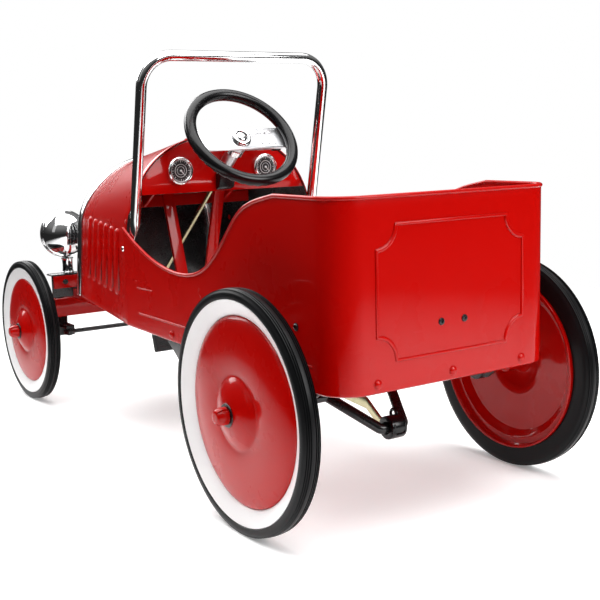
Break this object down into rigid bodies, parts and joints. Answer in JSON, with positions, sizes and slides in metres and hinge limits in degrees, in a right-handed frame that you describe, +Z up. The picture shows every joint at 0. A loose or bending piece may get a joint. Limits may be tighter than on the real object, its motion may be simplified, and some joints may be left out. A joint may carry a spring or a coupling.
{
  "type": "pedal car",
  "caption": "Child's steel pedal car with arched hood, windscreen hoop, whitewall disc wheels, crank drive and linked steering.",
  "frame": {"origin": "on the ground under the middle of the car's bounding box", "axes": "+Z up; the car faces -Y, so +Y runs along its length to the rear; +X is the car's left side"},
  "size_m": [0.454, 0.96, 0.521],
  "materials": {
    "red_paint": "gloss red enamel on pressed steel",
    "chrome_plate": "bright chrome plate",
    "tyre_rubber": "satin black solid rubber",
    "tread_rubber": "matte black ribbed rubber",
    "white_enamel": "satin white",
    "black_steel": "satin black paint",
    "black_plastic": "satin moulded black plastic",
    "zinc_plate": "yellowish zinc plate",
    "lens_glass": "clear fluted lens"
  },
  "bodies": {
    "body": {"tub_shell": "red_paint", "hood_shell": "red_paint", "dash_panel": "red_paint", "radiator_shell": "chrome_plate", "radiator_grille": "black_steel", "seat_pan": "red_paint", "windscreen_hoop": "chrome_plate", "left_gauge": "chrome_plate", "right_gauge": "chrome_plate", "column_sleeve": "chrome_plate", "column_bracket": "black_plastic", "left_chassis_rail": "red_paint", "right_chassis_rail": "red_paint", "front_beam": "red_paint", "lamp_bracket": "black_steel", "left_headlamp_bowl": "chrome_plate", "right_headlamp_bowl": "chrome_plate", "left_headlamp_lens": "lens_glass", "right_headlamp_lens": "lens_glass", "left_lamp_post": "chrome_plate", "right_lamp_post": "chrome_plate", "steering_support": "black_steel", "left_axle_hanger": "black_steel", "right_axle_hanger": "black_steel", "pedal_crossbar": "red_paint", "pedal_pivot_rod": "zinc_plate"},
    "steering": {"steering_wheel_rim": "black_plastic", "steering_spoke_plate": "chrome_plate", "steering_rod": "zinc_plate"},
    "horn": {"horn_button": "chrome_plate"},
    "stalk": {"column_stalk": "chrome_plate", "stalk_knob": "black_plastic"},
    "left_steer": {"left_knuckle": "black_plastic"},
    "right_steer": {"right_knuckle": "black_plastic"},
    "track_rod": {"tie_rod": "black_steel"},
    "front_left_wheel": {"front_left_tyre": "tyre_rubber", "front_left_white_ring": "white_enamel", "front_left_disc": "red_paint", "front_left_hub_cap": "red_paint"},
    "front_right_wheel": {"front_right_tyre": "tyre_rubber", "front_right_white_ring": "white_enamel", "front_right_disc": "red_paint", "front_right_hub_cap": "red_paint"},
    "crank": {"crankshaft": "black_steel", "rear_left_tyre": "tyre_rubber", "rear_left_white_ring": "white_enamel", "rear_left_disc": "red_paint", "rear_left_hub_cap": "red_paint"},
    "rear_right_wheel": {"rear_right_tyre": "tyre_rubber", "rear_right_white_ring": "white_enamel", "rear_right_disc": "red_paint", "rear_right_hub_cap": "red_paint"},
    "left_rod": {"left_big_end": "black_plastic", "left_connecting_rod": "zinc_plate"},
    "right_rod": {"right_big_end": "black_plastic", "right_connecting_rod": "zinc_plate"},
    "left_pedal": {"left_pedal_lever": "red_paint", "left_pedal_tread": "tread_rubber"},
    "right_pedal": {"right_pedal_lever": "red_paint", "right_pedal_tread": "tread_rubber"}
  },
  "joints": [
    {"name": "steering_turn", "type": "hinge", "parent": "body", "child": "steering", "pos_m": [0, 0.0423, 0.41], "axis": [0, 0.7705, 0.6374], "range_deg": [-20, 20]},
    {"name": "horn_push", "type": "slide", "parent": "steering", "child": "horn", "axis": [0, -0.7705, -0.6374], "range_m": [0, 0.003], "stiffness_N_per_m": 250, "springref_m": -0.001},
    {"name": "stalk_turn", "type": "hinge", "parent": "body", "child": "stalk", "pos_m": [0, 0.0423, 0.41], "axis": [0, 0.7705, 0.6374], "range_deg": [-15, 15]},
    {"name": "left_kingpin_turn", "type": "hinge", "parent": "body", "child": "left_steer", "pos_m": [0.112, -0.369, 0.111], "axis": [0, 0, 1], "range_deg": [-20, 20]},
    {"name": "right_kingpin_turn", "type": "hinge", "parent": "body", "child": "right_steer", "pos_m": [-0.112, -0.369, 0.111], "axis": [0, 0, 1], "range_deg": [-20, 20]},
    {"name": "track_rod_pivot", "type": "hinge", "parent": "left_steer", "child": "track_rod", "pos_m": [0.112, -0.329, 0.107], "axis": [0, 0, 1], "range_deg": [-20, 20]},
    {"name": "front_left_wheel_roll", "type": "hinge", "parent": "left_steer", "child": "front_left_wheel", "pos_m": [0.162, -0.369, 0.111], "axis": [1, 0, 0], "continuous": true},
    {"name": "front_right_wheel_roll", "type": "hinge", "parent": "right_steer", "child": "front_right_wheel", "pos_m": [-0.162, -0.369, 0.111], "axis": [1, 0, 0], "continuous": true},
    {"name": "crank_turn", "type": "hinge", "parent": "body", "child": "crank", "pos_m": [0, 0.35, 0.13], "axis": [1, 0, 0], "continuous": true},
    {"name": "rear_right_wheel_roll", "type": "hinge", "parent": "crank", "child": "rear_right_wheel", "pos_m": [-0.1935, 0.35, 0.13], "axis": [1, 0, 0], "continuous": true},
    {"name": "left_rod_turn", "type": "hinge", "parent": "crank", "child": "left_rod", "pos_m": [0.029, 0.3919, 0.09484], "axis": [1, 0, 0], "continuous": true},
    {"name": "right_rod_turn", "type": "hinge", "parent": "crank", "child": "right_rod", "pos_m": [-0.029, 0.3081, 0.16516], "axis": [1, 0, 0], "continuous": true},
    {"name": "left_pedal_swing", "type": "hinge", "parent": "body", "child": "left_pedal", "pos_m": [0.044, -0.099, 0.342], "axis": [1, 0, 0], "range_deg": [-38, 4]},
    {"name": "right_pedal_swing", "type": "hinge", "parent": "body", "child": "right_pedal", "pos_m": [-0.044, -0.099, 0.342], "axis": [1, 0, 0], "range_deg": [-4, 38]}
  ],
  "couplings": [
    {"joint": "left_kingpin_turn", "follows": "steering_turn", "ratio": 1},
    {"joint": "right_kingpin_turn", "follows": "steering_turn", "ratio": 1},
    {"joint": "track_rod_pivot", "follows": "steering_turn", "ratio": -1},
    {"joint": "left_rod_turn", "follows": "crank_turn", "ratio": -1},
    {"joint": "right_rod_turn", "follows": "crank_turn", "ratio": -1},
    {"joint": "right_pedal_swing", "follows": "left_pedal_swing", "ratio": -1}
  ]
}
